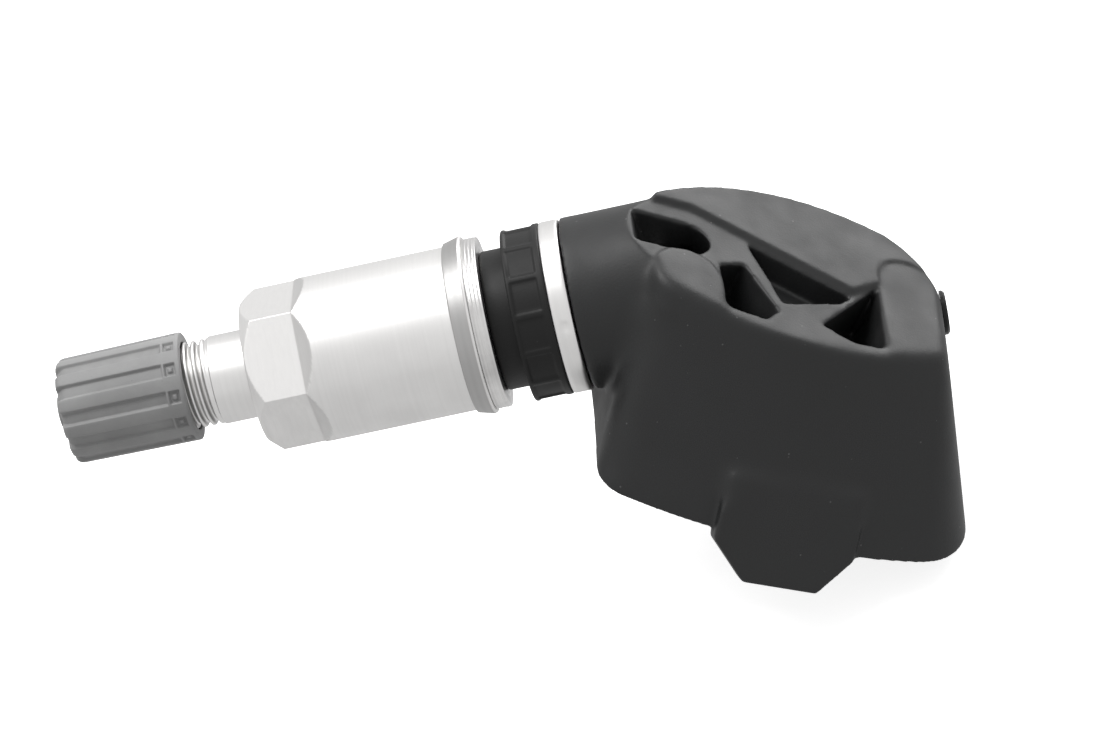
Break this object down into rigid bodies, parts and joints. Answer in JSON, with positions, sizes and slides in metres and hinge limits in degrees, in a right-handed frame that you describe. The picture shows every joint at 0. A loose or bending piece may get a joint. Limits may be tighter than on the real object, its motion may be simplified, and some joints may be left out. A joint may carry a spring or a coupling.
{
  "type": "tyre pressure sensor",
  "caption": "Tyre pressure sensor with a clamp-in metal valve: a ribbed dust cap, hexagonal sleeve nut and rubber grommet, and a flared black housing tilted down from the valve.",
  "frame": {"origin": "on the valve's axis, in the plane where the grommet's shoulder seals against the wheel", "axes": "-X along the valve towards the cap, Y across the housing, +Z on the side of the housing's recessed top"},
  "size_m": [0.0784, 0.0344, 0.0338],
  "materials": {
    "cap_plastic": "fine moulded",
    "seal_rubber": "matt",
    "stem_metal": "turned, plated",
    "core_brass": "turned",
    "spring_steel": "drawn wire",
    "core_ring_plastic": "fluoropolymer",
    "nut_metal": "turned, plated",
    "washer_metal": "turned",
    "grommet_rubber": "matt",
    "housing_plastic": "fine moulded, glass filled",
    "potting_resin": "poured",
    "board_laminate": "solder mask",
    "cell_steel": "plated",
    "tab_steel": "nickel",
    "chip_plastic": "moulded",
    "coil_wire": "wound ferrite",
    "crystal_can": "pressed",
    "antenna_wire": "tinned",
    "capacitor_ceramic": "ceramic",
    "plug_plastic": "polished",
    "screw_steel": "zinc plated"
  },
  "bodies": {
    "sensor": {"valve_stem": "stem_metal", "core_body": "core_brass", "core_spring": "spring_steel", "core_ring": "core_ring_plastic", "grommet": "grommet_rubber", "housing_shell": "housing_plastic", "potting": "potting_resin", "circuit_board": "board_laminate", "battery_cell": "cell_steel", "battery_tab_top": "tab_steel", "battery_tab_bottom": "tab_steel", "sensor_chip": "chip_plastic", "lf_coil": "coil_wire", "crystal": "crystal_can", "antenna_loop": "antenna_wire", "port_plug": "plug_plastic", "stem_screw": "screw_steel", "capacitor_1": "capacitor_ceramic", "capacitor_2": "capacitor_ceramic", "capacitor_3": "capacitor_ceramic", "capacitor_4": "capacitor_ceramic", "capacitor_5": "capacitor_ceramic", "capacitor_6": "capacitor_ceramic"},
    "cap_carrier": {"cap_seal": "seal_rubber"},
    "cap": {"valve_cap": "cap_plastic"},
    "nut_carrier": {"nut_washer": "washer_metal"},
    "nut": {"sleeve_nut": "nut_metal"},
    "valve_pin": {"core_pin": "core_brass", "core_cup": "seal_rubber"}
  },
  "joints": [
    {"name": "cap_slide", "type": "slide", "parent": "sensor", "child": "cap_carrier", "axis": [-1, 0, 0], "range_m": [0, 0.007]},
    {"name": "cap_turn", "type": "hinge", "parent": "cap_carrier", "child": "cap", "pos_m": [-0.0355, 0, 0], "axis": [-1, 0, 0], "range_deg": [0, 3240]},
    {"name": "nut_slide", "type": "slide", "parent": "sensor", "child": "nut_carrier", "axis": [-1, 0, 0], "range_m": [0, 0.005]},
    {"name": "nut_turn", "type": "hinge", "parent": "nut_carrier", "child": "nut", "pos_m": [-0.014, 0, 0], "axis": [-1, 0, 0], "range_deg": [0, 1872]},
    {"name": "valve_pin_slide", "type": "slide", "parent": "sensor", "child": "valve_pin", "axis": [1, 0, 0], "range_m": [0, 0.0015], "stiffness_N_per_m": 800, "springref_m": -0.001, "deforming": ["core_spring"]}
  ],
  "couplings": [
    {"joint": "cap_turn", "follows": "cap_slide", "rad_per_m": 7913.3},
    {"joint": "nut_turn", "follows": "nut_slide", "rad_per_m": 6283.2}
  ]
}
